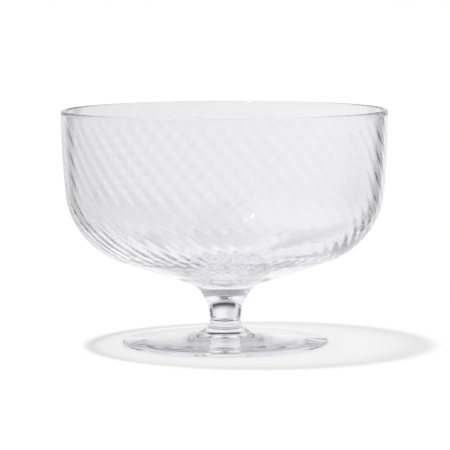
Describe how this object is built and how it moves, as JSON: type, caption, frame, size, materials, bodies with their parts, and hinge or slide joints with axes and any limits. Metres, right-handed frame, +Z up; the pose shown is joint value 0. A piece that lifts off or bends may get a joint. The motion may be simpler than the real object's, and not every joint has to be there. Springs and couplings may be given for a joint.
{
  "type": "ice cream coupe",
  "caption": "Footed coupe in clear glass: wide round-cornered bowl with fine twisted ribs inside, short solid stem and thin round foot.",
  "frame": {"origin": "middle of the foot's underside, on the plane the coupe stands on", "axes": "+Z up along the axis of bowl, stem and foot; +X and +Y across, with no front or back"},
  "size_m": [0.115, 0.115, 0.083],
  "materials": {
    "glass": "clear, polished"
  },
  "bodies": {
    "root": {"coupe": "glass"}
  },
  "joints": []
}
